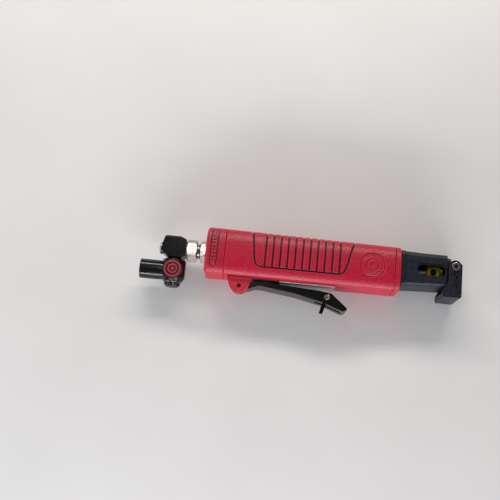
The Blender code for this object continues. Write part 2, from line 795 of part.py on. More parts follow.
def make_regulator_knob():
    """A fluted cap on a stalk that reaches into the spigot."""
    low, top = -30.0, -26.7
    profile = [(0, -21.0), (2.3, -21.0), (2.3, top), (KNOB_RADIUS, top), (KNOB_RADIUS, low + 1.8)]
    profile += [(KNOB_RADIUS - 1.8, low), (0, low)]
    knob = turned("regulator_knob", profile, "y", (SWING_X, 0), black_composite())
    flutes = 8
    for index in range(flutes):
        angle = math.tau * (index + 0.5) / flutes
        reach = KNOB_RADIUS + 0.5
        centre = (SWING_X + reach * math.cos(angle), 0, reach * math.sin(angle))
        cut(knob, cylinder(f"flute_{index}", 1.1, -40, top + 2, "y", centre, None, 6))
    return knob


def make_swivel():
    make_inlet_bushing()
    make_swivel_stem()
    cylinder("stem_end_cap", 4.6, -107.4, -105.9, "x", (0, 0), bright_steel())
    head = make_swivel_head()
    body = make_swivel_body()
    ride_on(body, head)
    ride_on(ring("body_washer", 3.9, 6.3, -26.0, -25.3, "y", (SWING_X, 0), bright_steel()), head)
    ride_on(make_regulator_knob(), head)


def make_exhaust():
    ring("exhaust_felt", 5.6, 8.7, 77.0, 81.0, "x", (0, 0), felt())


def main():
    make_housing()
    make_rear_cap()
    make_front_collar()
    make_label_plate()
    make_lever_group()
    make_throttle()
    make_valves()
    make_cylinder_group()
    make_ram()
    make_nose()
    make_shoe()
    make_shoe_screws()
    make_exhaust()
    make_swivel()


main()
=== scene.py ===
"""Looks for the pneumatic reciprocating saw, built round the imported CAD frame.

Lengths are in millimetres from the tool's axis, as in the CAD part. The near side is the
one that faces up, and the lever is on the -Y side. Places on the grip's side are given by
x and by v, the distance along the section's curve from the crease by the lever's face.
"""

import json
import math

import bmesh
import bpy
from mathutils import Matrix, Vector

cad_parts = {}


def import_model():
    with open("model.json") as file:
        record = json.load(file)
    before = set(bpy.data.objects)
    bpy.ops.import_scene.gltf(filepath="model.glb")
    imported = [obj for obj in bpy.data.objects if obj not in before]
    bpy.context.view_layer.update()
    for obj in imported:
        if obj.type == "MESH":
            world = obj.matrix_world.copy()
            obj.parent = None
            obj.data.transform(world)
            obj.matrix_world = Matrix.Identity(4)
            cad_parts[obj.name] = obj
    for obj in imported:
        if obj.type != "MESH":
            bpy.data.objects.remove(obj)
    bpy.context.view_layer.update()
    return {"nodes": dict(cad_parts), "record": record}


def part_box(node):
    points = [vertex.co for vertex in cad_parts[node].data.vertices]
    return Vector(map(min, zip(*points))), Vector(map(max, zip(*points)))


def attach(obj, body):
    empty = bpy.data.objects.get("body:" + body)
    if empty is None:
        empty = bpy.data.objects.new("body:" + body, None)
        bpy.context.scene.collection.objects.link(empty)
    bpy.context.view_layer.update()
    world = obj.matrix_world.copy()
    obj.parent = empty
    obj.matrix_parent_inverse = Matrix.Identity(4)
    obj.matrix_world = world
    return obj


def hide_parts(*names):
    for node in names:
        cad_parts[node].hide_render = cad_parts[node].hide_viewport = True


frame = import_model()

MM = 0.001
TAU = math.tau


def middle(node, axis):
    low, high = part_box(node)
    return (low[axis] + high[axis]) / 2 / MM


def edge_of(node, axis, high_side):
    """A face of a CAD node's box, in millimetres from the tool's axis."""
    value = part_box(node)[1 if high_side else 0][axis] / MM
    return value - AXIS if axis == 2 else value


AXIS = middle("piston_rod", 2)

# ---------------------------------------------------------------- materials


class Nodes:
    """Short names for building one material's node tree."""

    def __init__(self, name):
        self.material = bpy.data.materials.new(name)
        self.material.use_nodes = True
        self.tree = self.material.node_tree
        self.shader = self.tree.nodes["Principled BSDF"]
        self.place = self.add("ShaderNodeTexCoord").outputs["Object"]

    def add(self, kind, **values):
        node = self.tree.nodes.new(kind)
        for name, value in values.items():
            setattr(node, name, value)
        return node

    def link(self, source, target):
        self.tree.links.new(source, target)

    def noise(self, scale, detail=3.0, stretch=None):
        node = self.add("ShaderNodeTexNoise")
        node.inputs["Scale"].default_value = scale
        node.inputs["Detail"].default_value = detail
        self.link(self.stretched(stretch), node.inputs["Vector"])
        return node.outputs["Fac"]

    def cells(self, scale):
        node = self.add("ShaderNodeTexVoronoi", feature="SMOOTH_F1")
        node.inputs["Scale"].default_value = scale
        node.inputs["Smoothness"].default_value = 0.4
        self.link(self.place, node.inputs["Vector"])
        return node.outputs["Distance"]

    def stretched(self, stretch):
        if stretch is None:
            return self.place
        node = self.add("ShaderNodeMapping")
        node.inputs["Scale"].default_value = stretch
        self.link(self.place, node.inputs["Vector"])
        return node.outputs["Vector"]

    def ramp(self, source, low, high, start, end):
        """source from low to high becomes start to end."""
        node = self.add("ShaderNodeMapRange")
        for name, value in (("From Min", low), ("From Max", high), ("To Min", start), ("To Max", end)):
            node.inputs[name].default_value = value
        self.link(source, node.inputs["Value"])
        return node.outputs["Result"]

    def sum(self, first, second, factor):
        node = self.add("ShaderNodeMath", operation="MULTIPLY_ADD")
        self.link(second, node.inputs[0])
        node.inputs[1].default_value = factor
        self.link(first, node.inputs[2])
        return node.outputs["Value"]

    def mix(self, factor, first, second):
        """A colour between two, each a colour or another mix."""
        node = self.add("ShaderNodeMix", data_type="RGBA")
        self.link(factor, node.inputs["Factor"])
        for value, socket in ((first, node.inputs[6]), (second, node.inputs[7])):
            if isinstance(value, tuple):
                socket.default_value = (*value, 1)
            else:
                self.link(value, socket)
        return node.outputs[2]

    def edges(self):
        """1 on worn convex edges and 0 elsewhere, broken up by noise."""
        point = self.add("ShaderNodeNewGeometry").outputs["Pointiness"]
        worn = self.sum(point, self.noise(900.0), 0.04)
        return self.ramp(worn, 0.53, 0.58, 0.0, 1.0)

    def bump(self, height, depth, strength=1.0):
        node = self.add("ShaderNodeBump")
        node.inputs["Strength"].default_value = strength
        node.inputs["Distance"].default_value = depth
        self.link(height, node.inputs["Height"])
        self.link(node.outputs["Normal"], self.shader.inputs["Normal"])

    def done(self, colour, roughness, metallic=0.0, specular=0.5):
        """Sets what the shader takes: a socket is linked and a number is set."""
        pairs = (("Base Color", colour), ("Roughness", roughness), ("Metallic", metallic))
        for name, value in pairs + (("Specular IOR Level", specular),):
            socket = self.shader.inputs[name]
            if isinstance(value, bpy.types.NodeSocket):
                self.link(value, socket)
            else:
                socket.default_value = (*value, 1) if isinstance(value, tuple) else value
        return self.material


def red_enamel():
    """Leather-grained red, with painted shade: nearly black down in the grooves and sunk marks."""
    n = Nodes("red_enamel")
    grain = n.sum(n.cells(900.0), n.noise(2000.0), 0.5)
    patches = n.ramp(n.noise(90.0), 0.3, 0.7, 0.0, 1.0)
    tint = n.mix(patches, (0.34, 0.0020, 0.024), (0.40, 0.003, 0.028))
    pores = n.mix(n.ramp(grain, 0.45, 0.85, 0.0, 1.0), tint, (0.52, 0.010, 0.036))
    worn = n.mix(n.edges(), pores, (0.60, 0.04, 0.06))
    # painted shade: the mesh's "sunk" attribute darkens the grooves and sunk marks to near black
    sunk = n.add("ShaderNodeAttribute", attribute_name="sunk").outputs["Fac"]
    colour = n.mix(sunk, worn, (0.010, 0.008, 0.014))
    n.bump(grain, 0.0002, 0.8)
    return n.done(colour, n.ramp(grain, 0.2, 1.0, 0.28, 0.42), 0.0, 0.4)


def black_steel():
    n = Nodes("black_steel")
    fine = n.noise(1500.0)
    colour = n.mix(fine, (0.0018, 0.0016, 0.0018), (0.006, 0.0055, 0.0055))
    n.bump(fine, 0.00002, 0.3)
    return n.done(colour, n.ramp(n.noise(160.0), 0.3, 0.7, 0.18, 0.28), 0.0, 0.3)


def charcoal_cast():
    n = Nodes("charcoal_cast")
    grit = n.sum(n.noise(1100.0, 5.0), n.cells(900.0), 0.6)
    base = n.mix(n.ramp(grit, 0.6, 1.0, 0.0, 1.0), (0.0035, 0.004, 0.0065), (0.022, 0.025, 0.042))
    n.bump(grit, 0.0003, 0.8)
    return n.done(base, n.ramp(grit, 0.4, 1.0, 0.48, 0.34), 0.0, 0.3)


def black_composite(name="black_composite", low=0.16, high=0.26, grain=0.15, shine=0.4):
    n = Nodes(name)
    fine = n.noise(1200.0)
    colour = n.mix(fine, (0.0018, 0.0018, 0.0021), (0.006, 0.006, 0.0068))
    n.bump(fine, 0.00003, grain)
    return n.done(colour, n.ramp(n.noise(120.0), 0.3, 0.7, low, high), 0.0, shine)


def steel(name, light, dark, low, high, stretch):
    """Machined steel: fine lines along the turning, stains and scuffs."""
    n = Nodes(name)
    lines = n.noise(900.0, 2.0, stretch)
    blend = n.sum(lines, n.noise(260.0), 0.5)
    colour = n.mix(n.ramp(blend, 0.45, 1.0, 0.0, 1.0), dark, light)
    n.bump(lines, 0.00002, 0.35)
    return n.done(colour, n.ramp(blend, 0.4, 1.1, high, low), 1.0)


def brass():
    n = Nodes("brass")
    lines = n.noise(1100.0, 2.0, (1.0, 0.2, 0.2))
    patches = n.ramp(n.noise(300.0), 0.35, 0.65, 0.0, 1.0)
    colour = n.mix(patches, (1.0, 0.70, 0.02), (0.90, 0.56, 0.02))
    n.bump(lines, 0.00002, 0.3)
    return n.done(colour, n.ramp(lines, 0.3, 0.7, 0.22, 0.36), 0.3)


def soft(name, base, light, roughness, scale, depth):
    n = Nodes(name)
    fibre = n.noise(scale, 5.0)
    n.bump(fibre, depth, 0.8)
    return n.done(n.mix(fibre, base, light), roughness)


def floor_paper():
    n = Nodes("floor_paper")
    fine = n.noise(400.0, 4.0)
    n.bump(fine, 0.00002, 0.2)
    colour = n.mix(n.ramp(n.noise(9.0), 0.3, 0.7, 0.0, 1.0), (0.76, 0.75, 0.74), (0.80, 0.79, 0.78))
    return n.done(colour, 0.8)


LOOK = {
    "red_enamel": red_enamel(),
    "black_steel": black_steel(),
    "charcoal_cast": charcoal_cast(),
    "black_composite": black_composite(),
    "bright_steel": steel("bright_steel", (0.72, 0.67, 0.60), (0.36, 0.30, 0.26), 0.12, 0.26, (0.2, 1, 1)),
    "ground_steel": steel("ground_steel", (0.56, 0.56, 0.57), (0.30, 0.30, 0.31), 0.24, 0.42, (1, 0.1, 0.1)),
    "brass": brass(),
    "seal_rubber": soft("seal_rubber", (0.010, 0.010, 0.010), (0.028, 0.028, 0.028), 0.7, 1400.0, 0.00004),
    "felt": soft("felt", (0.20, 0.19, 0.17), (0.46, 0.44, 0.40), 0.95, 2600.0, 0.0002),
    "pale_metal": steel("pale_metal", (0.74, 0.73, 0.72), (0.50, 0.49, 0.49), 0.30, 0.44, (0.1, 1, 1)),
    "badge_print": black_composite("badge_print", 0.22, 0.32, 0.1),
}
MATT_BLACK = black_composite("matt_black", 0.22, 0.30, 0.3, 0.15)


def red_print():
    n = Nodes("red_print")
    colour = n.mix(n.noise(700.0), (0.58, 0.014, 0.022), (0.70, 0.022, 0.030))
    n.bump(n.noise(1800.0), 0.00002, 0.3)
    return n.done(colour, n.ramp(n.noise(300.0), 0.3, 0.7, 0.25, 0.4))


def dark_red():
    n = Nodes("dark_red")
    colour = n.mix(n.noise(500.0), (0.05, 0.002, 0.007), (0.09, 0.004, 0.011))
    n.bump(n.noise(1800.0), 0.00003, 0.4)
    return n.done(colour, 0.5)


RED_PRINT = red_print()
DARK_RED = dark_red()

# ---------------------------------------------------------------- shape helpers


def world(x, y, z):
    return Vector((x, y, z + AXIS)) * MM


AXES = {
    "x": lambda centre, a, b, h: world(h, centre[0] + a, centre[1] + b),
    "y": lambda centre, a, b, h: world(centre[0] + a, h, centre[1] - b),
    "z": lambda centre, a, b, h: world(centre[0] + a, centre[1] + b, h),
}


def finished(name, edit, look):
    """An object from an edit mesh, with its normals outward."""
    bmesh.ops.recalc_face_normals(edit, faces=edit.faces[:])
    mesh = bpy.data.meshes.new(name)
    edit.to_mesh(mesh)
    edit.free()
    obj = bpy.data.objects.new(name, mesh)
    bpy.context.scene.collection.objects.link(obj)
    mesh.materials.append(look)
    return obj


def soften(points, radius, steps=4, closed=True):
    """The outline with each corner rounded to about that radius."""
    out, count = [], len(points)
    for i, point in enumerate(points):
        if not closed and i in (0, count - 1):
            out.append(tuple(point))
            continue
        here = Vector(point)
        before = Vector(points[i - 1]) - here
        after = Vector(points[(i + 1) % count]) - here
        turn = math.pi - before.angle(after, 0.0)
        if turn < 0.12:
            out.append(tuple(point))
            continue
        reach = min(radius * math.tan(turn / 2), before.length * 0.48, after.length * 0.48)
        start, end = here + before.normalized() * reach, here + after.normalized() * reach
        for step in range(steps + 1):
            t = step / steps
            out.append(tuple(start * (1 - t) ** 2 + here * 2 * t * (1 - t) + end * t**2))
    return out


def arc(centre, radius, start, end, steps):
    points = []
    for step in range(steps + 1):
        angle = math.radians(start + (end - start) * step / steps)
        points.append((centre[0] + radius * math.cos(angle), centre[1] + radius * math.sin(angle)))
    return points


def corners_between(first, second, i, j):
    """The corners of one face between two rings, either of which may be a single point."""
    corners = [first[i % len(first)], first[j % len(first)], second[j % len(second)], second[i % len(second)]]
    return list(dict.fromkeys(corners))


def revolve(name, profile, axis, centre, look, sides=64, lobes=None):
    """A (radius, height) profile turned round an axis. lobes is (count, depth, least radius)."""
    edit = bmesh.new()
    put = AXES[axis]
    rings = []
    for radius, height in profile:
        if radius < 1e-6:
            rings.append([edit.verts.new(put(centre, 0, 0, height))])
            continue
        ring = []
        for side in range(sides):
            angle = TAU * side / sides
            r = radius
            if lobes and radius > lobes[2]:
                r -= lobes[1] * max(0.0, math.cos(lobes[0] * angle)) ** 1.5
            ring.append(edit.verts.new(put(centre, r * math.cos(angle), r * math.sin(angle), height)))
        rings.append(ring)
    poles = len(rings[0]) == 1 or len(rings[-1]) == 1
    pairs = list(zip(rings, rings[1:])) + ([] if poles else [(rings[-1], rings[0])])
    for first, second in pairs:
        for i in range(sides):
            j = (i + 1) % sides
            edit.faces.new(corners_between(first, second, i, j))
    return finished(name, edit, look)


def disc_profile(radius, low, high, bevel):
    """The profile of a solid disc or rod with rounded rims."""
    return soften([(0, low), (radius, low), (radius, high), (0, high)], bevel, 4, False)


def tube_profile(inner, outer, low, high, bevel):
    return soften([(outer, low), (outer, high), (inner, high), (inner, low)], bevel, 3)


def prism(name, outline, low, high, look, axis="z", centre=(0, 0)):
    """A flat outline as a solid from low to high along an axis."""
    edit = bmesh.new()
    put = AXES[axis]
    bottom = [edit.verts.new(put(centre, a, b, low)) for a, b in outline]
    top = [edit.verts.new(put(centre, a, b, high)) for a, b in outline]
    for i in range(len(outline)):
        j = (i + 1) % len(outline)
        edit.faces.new((bottom[i], bottom[j], top[j], top[i]))
    edit.faces.new(bottom)
    edit.faces.new(top)
    return finished(name, edit, look)


def block(name, low, high, look):
    outline = [(low[0], low[1]), (high[0], low[1]), (high[0], high[1]), (low[0], high[1])]
    return prism(name, outline, low[2], high[2], look)


def loft(name, sections, look):
    """A solid through sections, each an x and an outline of (y, z)."""
    edit = bmesh.new()
    rings = [[edit.verts.new(world(x, y, z)) for y, z in outline] for x, outline in sections]
    for first, second in zip(rings, rings[1:]):
        for i in range(len(first)):
            j = (i + 1) % len(first)
            edit.faces.new((first[i], first[j], second[j], second[i]))
    edit.faces.new(rings[0])
    edit.faces.new(rings[-1])
    return finished(name, edit, look)


def combine(obj, operation, tools):
    for tool in tools:
        modifier = obj.modifiers.new(tool.name, "BOOLEAN")
        modifier.operation = operation
        modifier.solver = "EXACT"
        modifier.object = tool
    bake(obj)
    for tool in tools:
        bpy.data.objects.remove(tool, do_unlink=True)
    return obj


def cut(obj, *tools):
    return combine(obj, "DIFFERENCE", tools)


def join(obj, *tools):
    return combine(obj, "UNION", tools)


def keep(obj, *tools):
    return combine(obj, "INTERSECT", tools)


def bake(obj):
    """Applies the modifiers."""
    graph = bpy.context.evaluated_depsgraph_get()
    mesh = bpy.data.meshes.new_from_object(obj.evaluated_get(graph), depsgraph=graph)
    old = obj.data
    obj.modifiers.clear()
    obj.data = mesh
    bpy.data.meshes.remove(old)
    mesh.name = obj.name


def bevel(obj, width, segments=3, angle=28.0):
    """Rounds every edge sharper than the angle."""
    edit = bmesh.new()
    edit.from_mesh(obj.data)
    bmesh.ops.remove_doubles(edit, verts=edit.verts[:], dist=2e-6)
    bmesh.ops.dissolve_degenerate(edit, edges=edit.edges[:], dist=1e-6)
    edit.to_mesh(obj.data)
    edit.free()
    modifier = obj.modifiers.new("Bevel", "BEVEL")
    modifier.width = width * MM
    modifier.segments = segments
    modifier.limit_method = "ANGLE"
    modifier.angle_limit = math.radians(angle)
    modifier.miter_outer = "MITER_ARC"
    bake(obj)
    return obj


def shade(obj, angle=35.0):
    obj.data.polygons.foreach_set("use_smooth", [True] * len(obj.data.polygons))
    obj.data.set_sharp_from_angle(angle=math.radians(angle))
    modifier = obj.modifiers.new("Weighted", "WEIGHTED_NORMAL")
    modifier.keep_sharp = True
    bake(obj)
    return obj


def add(obj, body, slot, *nodes, angle=35.0):
    """Shades a finished piece, fixes it to its body and hides the nodes it stands for; the slot is not used.
    """
    shade(obj, angle)
    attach(obj, body)
    if nodes:
        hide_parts(*nodes)
    return obj


RED, BLACK, CAST = LOOK["red_enamel"], LOOK["black_steel"], LOOK["charcoal_cast"]
GLOSS, BRIGHT, GROUND = LOOK["black_composite"], LOOK["bright_steel"], LOOK["ground_steel"]

# ---------------------------------------------------------------- grip

REAR, FRONT = edge_of("rear_cap", 0, False), edge_of("front_collar", 0, True)
CAP_SEAM, COLLAR_SEAM = edge_of("housing", 0, False), edge_of("housing", 0, True)
SECTION_Y, SECTION_Z, SECTION_POWER = 17.6, 17.0, 3.0
LOWER_Y = 20.2  # the section's reach below its axis, before the lever's face cuts it
LEVER_FACE, REST_FACE = -17.4, -AXIS
REAR_SCALE, FRONT_SCALE = 1.05, 0.945
BORE = 12.6
CREASE = 0.7  # rounding where the side meets the lever's face

GROOVE_COUNT, GROOVE_FIRST, GROOVE_PITCH = 11, -27.6, 5.46
GROOVE_HALF, GROOVE_DEPTH = 0.6, 0.7
GROOVE_X = [GROOVE_FIRST + GROOVE_PITCH * i for i in range(GROOVE_COUNT)]
RIB_LOW = -10.4
RIB_LEFT = [(-39.5, 30.0), (-38.9, 17.4), (-35.3, -5.6), (-33.9, -9.1), (-30.8, RIB_LOW)]
RIB_RIGHT = [(27.2, RIB_LOW), (30.2, -9.0), (32.2, -5.0), (38.4, 17.4), (38.9, 30.0)]
MEDAL = (51.2, -1.2)


def smoothstep(low, high, value):
    t = min(max((value - low) / (high - low), 0.0), 1.0)
    return t * t * (3 - 2 * t)


def side_curve():
    """The near side from the crease over to the top, as (y, z, distance along it)."""
    corner = math.asin((-LEVER_FACE / LOWER_Y) ** (SECTION_POWER / 2))
    points, length = [], 0.0
    for step in range(1201):
        angle = -corner + (math.pi / 2 + corner) * step / 1200
        sine, cosine = math.sin(angle), max(math.cos(angle), 0.0)
        y = abs(sine) ** (2 / SECTION_POWER) * (SECTION_Y if sine > 0 else -LOWER_Y)
        z = cosine ** (2 / SECTION_POWER) * SECTION_Z
        if points:
            length += math.hypot(y - points[-1][0], z - points[-1][1])
        points.append((y, z, length))
    return points


SIDE = side_curve()
SIDE_LENGTH = SIDE[-1][2]


def on_side(v):
    """(y, z, outward y, outward z) at a distance along the side."""
    low, high = 0, len(SIDE) - 1
    while high - low > 1:
        half = (low + high) // 2
        low, high = (half, high) if SIDE[half][2] <= v else (low, half)
    a, b = SIDE[low], SIDE[high]
    t = (v - a[2]) / max(b[2] - a[2], 1e-9)
    dy, dz = b[0] - a[0], b[1] - a[1]
    size = math.hypot(dy, dz) or 1.0
    return a[0] + dy * t, a[1] + dz * t, -dz / size, dy / size


def along_side(y):
    """The distance along the side at height y: past the top it goes on straight."""
    if y >= SECTION_Y:
        return SIDE_LENGTH + (y - SECTION_Y)
    return next(p[2] for p in SIDE if p[0] >= y)


def distance_to(path, x, v):
    best = 1e9
    for (ax, av), (bx, bv) in zip(path, path[1:]):
        dx, dv = bx - ax, bv - av
        t = min(max(((x - ax) * dx + (v - av) * dv) / (dx * dx + dv * dv), 0.0), 1.0)
        best = min(best, math.hypot(x - ax - dx * t, v - av - dv * t))
    return best


def unrolled(path):
    return [(x, along_side(y)) for x, y in soften(path, 3.0, 4, False)]


RIB_PATH = unrolled(RIB_LEFT + RIB_RIGHT)
RIB_LOW_V = along_side(RIB_LOW)
MEDAL_V = along_side(MEDAL[1])
CAP_MARK_X, CAP_MARK_Y = REAR + 6.3, (-12.6, 14.6)
CAP_MARK_V = (along_side(CAP_MARK_Y[0] + 2.4), along_side(CAP_MARK_Y[1] - 2.4))


def groove_at(distance, half, depth):
    return depth * (1 - smoothstep(half - 0.32, half + 0.22, distance))


def medal_relief(x, v):
    """Rings and a hexagon, sunk into the grip."""
    dx, dv = x - MEDAL[0], v - MEDAL_V
    radius = math.hypot(dx, dv)
    if radius > 10.4:
        return 0.0
    angle = math.atan2(dv, dx)
    wedge = (angle + math.pi / 6) % (math.pi / 3) - math.pi / 6
    hexagon = abs(radius * math.cos(wedge) - 4.3)
    sunk = groove_at(abs(radius - 8.9), 0.55, 0.65)
    sunk = max(sunk, groove_at(abs(radius - 7.1), 0.4, 0.45))
    sunk = max(sunk, groove_at(hexagon, 0.5, 0.6))
    return max(sunk, 0.32 * (1 - smoothstep(1.2, 2.2, radius)))


def cap_relief(x, v):
    """An oblong outline with a row of plain bars in it."""
    low, high = CAP_MARK_V
    dx, off = x - CAP_MARK_X, max(low - v, v - high, 0.0)
    outline = abs(math.hypot(dx, off) - 2.4)
    sunk = groove_at(outline, 0.42, 0.4)
    if off == 0 and abs(dx) < 1.5:
        bar = abs((v - low) / (high - low) * 9 % 1 - 0.5) * (high - low) / 9
        sunk = max(sunk, 0.28 * (1 - smoothstep(0.35, 0.75, bar)) * (1 - smoothstep(0.9, 1.4, abs(dx))))
    return sunk


def rib_relief(x, v):
    """The outline groove and the cross grooves above its lower edge."""
    near_path = -42 < x < 41
    sunk = groove_at(distance_to(RIB_PATH, x, v), GROOVE_HALF, GROOVE_DEPTH) if near_path else 0.0
    if v > RIB_LOW_V and -29 < x < 28.5:
        nearest = min(abs(x - g) for g in GROOVE_X)
        sunk = max(sunk, groove_at(nearest, GROOVE_HALF, GROOVE_DEPTH))
    return sunk


def spread(fixed, low, high, widest):
    """Sorted places from low to high: the fixed ones, and others where the gap depends on the place."""
    marks = sorted({low, high, *(f for f in fixed if low < f < high)})
    out = [marks[0]]
    for mark in marks[1:]:
        if mark - out[-1] < 0.04:
            continue
        start = out[-1]
        count = max(1, math.ceil((mark - start) / widest((start + mark) / 2)))
        out += [start + (mark - start) * (i + 1) / count for i in range(count)]
    return out


def rows(fine_spans):
    """Distances along the side, close together where something is sunk."""
    fixed = [RIB_LOW_V + 0.15 * i for i in range(-6, 7)] + [CREASE, 1.4]
    for low, high in fine_spans:
        fixed += [low + 0.34 * i for i in range(int((high - low) / 0.34))]
    return spread(fixed, CREASE, SIDE_LENGTH, lambda v: 0.75)


def ring_rows(fine_spans):
    """The whole section: (y, z, outward y, outward z, distance along the side or None)."""
    near = []
    for v in rows(fine_spans):
        y, z, ny, nz = on_side(v)
        near.append((y, z, ny, nz, v))
    y0, z0 = near[0][:2]
    corner_z = SIDE[0][1]
    start, end = Vector((LEVER_FACE, corner_z - CREASE)), Vector((y0, z0))
    corner, rounding = Vector((LEVER_FACE, corner_z)), []
    for step in range(1, 5):
        t = step / 5
        point = start * (1 - t) ** 2 + corner * 2 * t * (1 - t) + end * t**2
        way = Vector((-(1 - t), t)).normalized()
        rounding.append((point.x, point.y, way.x, way.y, None))
    flat = [(LEVER_FACE, (corner_z - CREASE) * (i / 10 - 1), -1.0, 0.0, None) for i in range(21)]
    half = rounding + near
    far = [(y, -z, ny, -nz, v) for y, z, ny, nz, v in reversed(half[:-1])]
    return flat + half + far


def grip_length(name, rear, front, relief, columns, fine_spans, bore, ends, dark=None):
    """A length of the grip: sunk detail, painted shade in the grooves where told, rounded ends and a bore
    right through.
    """
    ring = ring_rows(fine_spans)
    edit = bmesh.new()
    depth = edit.verts.layers.float.new("sunk")
    outer = []
    for x in columns:
        travel = (x - REAR) / (FRONT - REAR)
        scale = REAR_SCALE + (FRONT_SCALE - REAR_SCALE) * travel
        inset = 0.0
        for gap, radius in ((x - rear, ends[0]), (front - x, ends[1])):
            if gap < radius:
                inset += radius - math.sqrt(max(radius**2 - (radius - gap) ** 2, 0.0))
        loop = []
        for y, z, ny, nz, v in ring:
            sunk = relief(x, v) if v is not None else 0.0
            push = sunk + inset
            place = (x, y * (scale if y > 0 else 1) - ny * push, max(z - nz * push, REST_FACE))
            vert = edit.verts.new(world(*place))
            # painted shade: marks vertices sunk past the given relief for the near-black groove colour
            vert[depth] = smoothstep(0.06, 0.3, dark(x, v)) if dark and v is not None else 0.0
            loop.append(vert)
        outer.append(loop)
    inner = []
    for x in (columns[0], columns[-1]):
        loop = []
        for y, z, *_ in ring:
            size = math.hypot(y, z)
            loop.append(edit.verts.new(world(x, y / size * bore, z / size * bore)))
        inner.append(loop)
    loops = [inner[0], *outer, inner[1], inner[0]]
    for first, second in zip(loops, loops[1:]):
        for i in range(len(ring)):
            j = (i + 1) % len(ring)
            edit.faces.new((first[i], first[j], second[j], second[i]))
    return finished(name, edit, RED)


def end_marks(rear, front, ends):
    near = [rear + ends[0] * f for f in (0, 0.03, 0.12, 0.3, 0.6, 1)]
    return near + [front - ends[1] * f for f in (1, 0.6, 0.3, 0.12, 0.03, 0)]


def make_grip():
    profile = (-0.84, -0.7, -0.55, -0.4, -0.26, 0.26, 0.4, 0.55, 0.7, 0.84)
    fixed = [g + offset for g in GROOVE_X for offset in profile]
    ends = (0.45, 0.45)
    fixed += end_marks(CAP_SEAM, COLLAR_SEAM, ends)

    def widest(x):
        fine = -41.5 < x < -28.4 or 26.8 < x < 40.2 or MEDAL[0] - 11 < x < MEDAL[0] + 11
        return 0.33 if fine else 1.0

    columns = spread(fixed + [-41.5, -28.4, 28.0, 40.2, 62.2], CAP_SEAM, COLLAR_SEAM, widest)
    spans = [(MEDAL_V - 11, MEDAL_V + 11)]

    def relief(x, v):
        return max(rib_relief(x, v), medal_relief(x, v))

    # rib_relief also says where the grooves get painted shade
    grip = grip_length("grip", CAP_SEAM, COLLAR_SEAM, relief, columns, spans, BORE, ends, rib_relief)
    cut(grip, bush_way())
    return add(grip, "tool", "red_enamel", "housing", angle=60)


def make_rear_cap():
    ends = (2.2, 0.45)
    front = edge_of("rear_cap", 0, True)
    fixed = end_marks(REAR, front, ends)

    def widest(x):
        return 0.33 if abs(x - CAP_MARK_X) < 3.4 else 0.8

    fixed += [CAP_MARK_X - 3.4, CAP_MARK_X + 3.4]
    columns = spread(fixed, REAR, front, widest)
    spans = [(CAP_MARK_V[0] - 3.4, CAP_MARK_V[1] + 3.4)]
    # cap_relief also says where the cap's marks get painted shade
    cap = grip_length("end_cap", REAR, front, cap_relief, columns, spans, 8.3, ends, cap_relief)
    return add(cap, "tool", "red_enamel", "rear_cap", angle=60)


def make_collar():
    ends = (0.45, 0.8)
    rear = edge_of("front_collar", 0, False)

    def relief(x, v):
        return groove_at(abs(x - rear - 1.3), 0.25, 0.15)

    marks = end_marks(rear, FRONT, ends) + [rear + 1.3 + 0.1 * i for i in range(-5, 6)]
    columns = spread(marks, rear, FRONT, lambda x: 0.6)
    # relief also says where the collar's line gets painted shade
    collar = grip_length("collar", rear, FRONT, relief, columns, [], BORE, ends, relief)
    return add(collar, "tool", "red_enamel", "front_collar", angle=60)


PIVOT = (middle("lever_pin", 0), middle("lever_pin", 1))
PIN_WAY, CATCH_WAY = 1.6, 1.3  # bore radii for the lever's pin and the catch's pin
STEM_X = middle("throttle_stem", 0)
LAND_X, LAND_FACE, LAND_HALF = (-54.3, 25.9), -17.9, 8.9
PLATE_HALF = 8.6


def bush_way():
    """A cutter for the throttle bush's hole through the grip, land and the black plate of painted shadow."""
    return revolve("bush_way", disc_profile(4.2, -24, -8, 0.1), "y", (STEM_X, 0), RED, 32)


def ear_outline(depth):
    """An ear reaching depth below the pin."""
    bow = arc((0, 7.5 - depth), 7.5, 200, 340, 30)
    return [(-9.4, 9.5), (-8.7, 4.4), *bow, (8.7, 4.4), (9.4, 9.5)]


def make_lever_mount():
    """The raised land under the lever and the two ears that hold its pin."""
    mount = block("lever_mount", (LAND_X[0], LAND_FACE, -LAND_HALF), (LAND_X[1], -15.4, LAND_HALF), RED)
    for side, low, depth in (("near", 6.6, 5.1), ("far", -9.4, 3.2)):
        outline = soften(ear_outline(depth), 2.2, 5)
        join(mount, prism("ear_" + side, outline, low, low + 2.8, RED, centre=PIVOT))
    cut(
        mount,
        revolve("pin_way", disc_profile(PIN_WAY, -12, 12, 0.1), "z", PIVOT, RED, 32),
        bush_way(),
        block("root_near", (-54.9, -18.2, 8.7), (-35.5, -17.6, 9.9), RED),
        block("root_far", (-54.9, -18.2, -9.9), (-35.5, -17.6, -8.7), RED),
    )
    bevel(mount, 0.35, 3)
    return add(mount, "tool", "red_enamel", "housing")


def make_painted_shadow_plate():
    """A black block on the land round the throttle's bush: painted shadow where the lever's root shades the
    land.
    """
    low, high = (-35.0, -18.7, -PLATE_HALF), (-15.7, -18.0, PLATE_HALF)
    # painted shadow: plain black so this stretch of the land reads as shaded
    plate = block("painted_shadow_plate", low, high, LOOK["seal_rubber"])
    cut(plate, bush_way())
    bevel(plate, 0.3, 2)
    return add(plate, "tool", "seal_rubber")


def make_label():
    low, high = edge_of("label_plate", 0, False), edge_of("label_plate", 0, True)
    plate = block("label", (low, -18.8, -PLATE_HALF), (high, -18.0, PLATE_HALF), LOOK["pale_metal"])
    bevel(plate, 0.2, 3)
    return add(plate, "tool", "pale_metal", "label_plate")


# ---------------------------------------------------------------- lever

LEVER_Z, ROOT_Z, SHEET = 8.6, 6.2, 1.3
CATCH = (middle("catch_pin", 0), middle("catch_pin", 1))


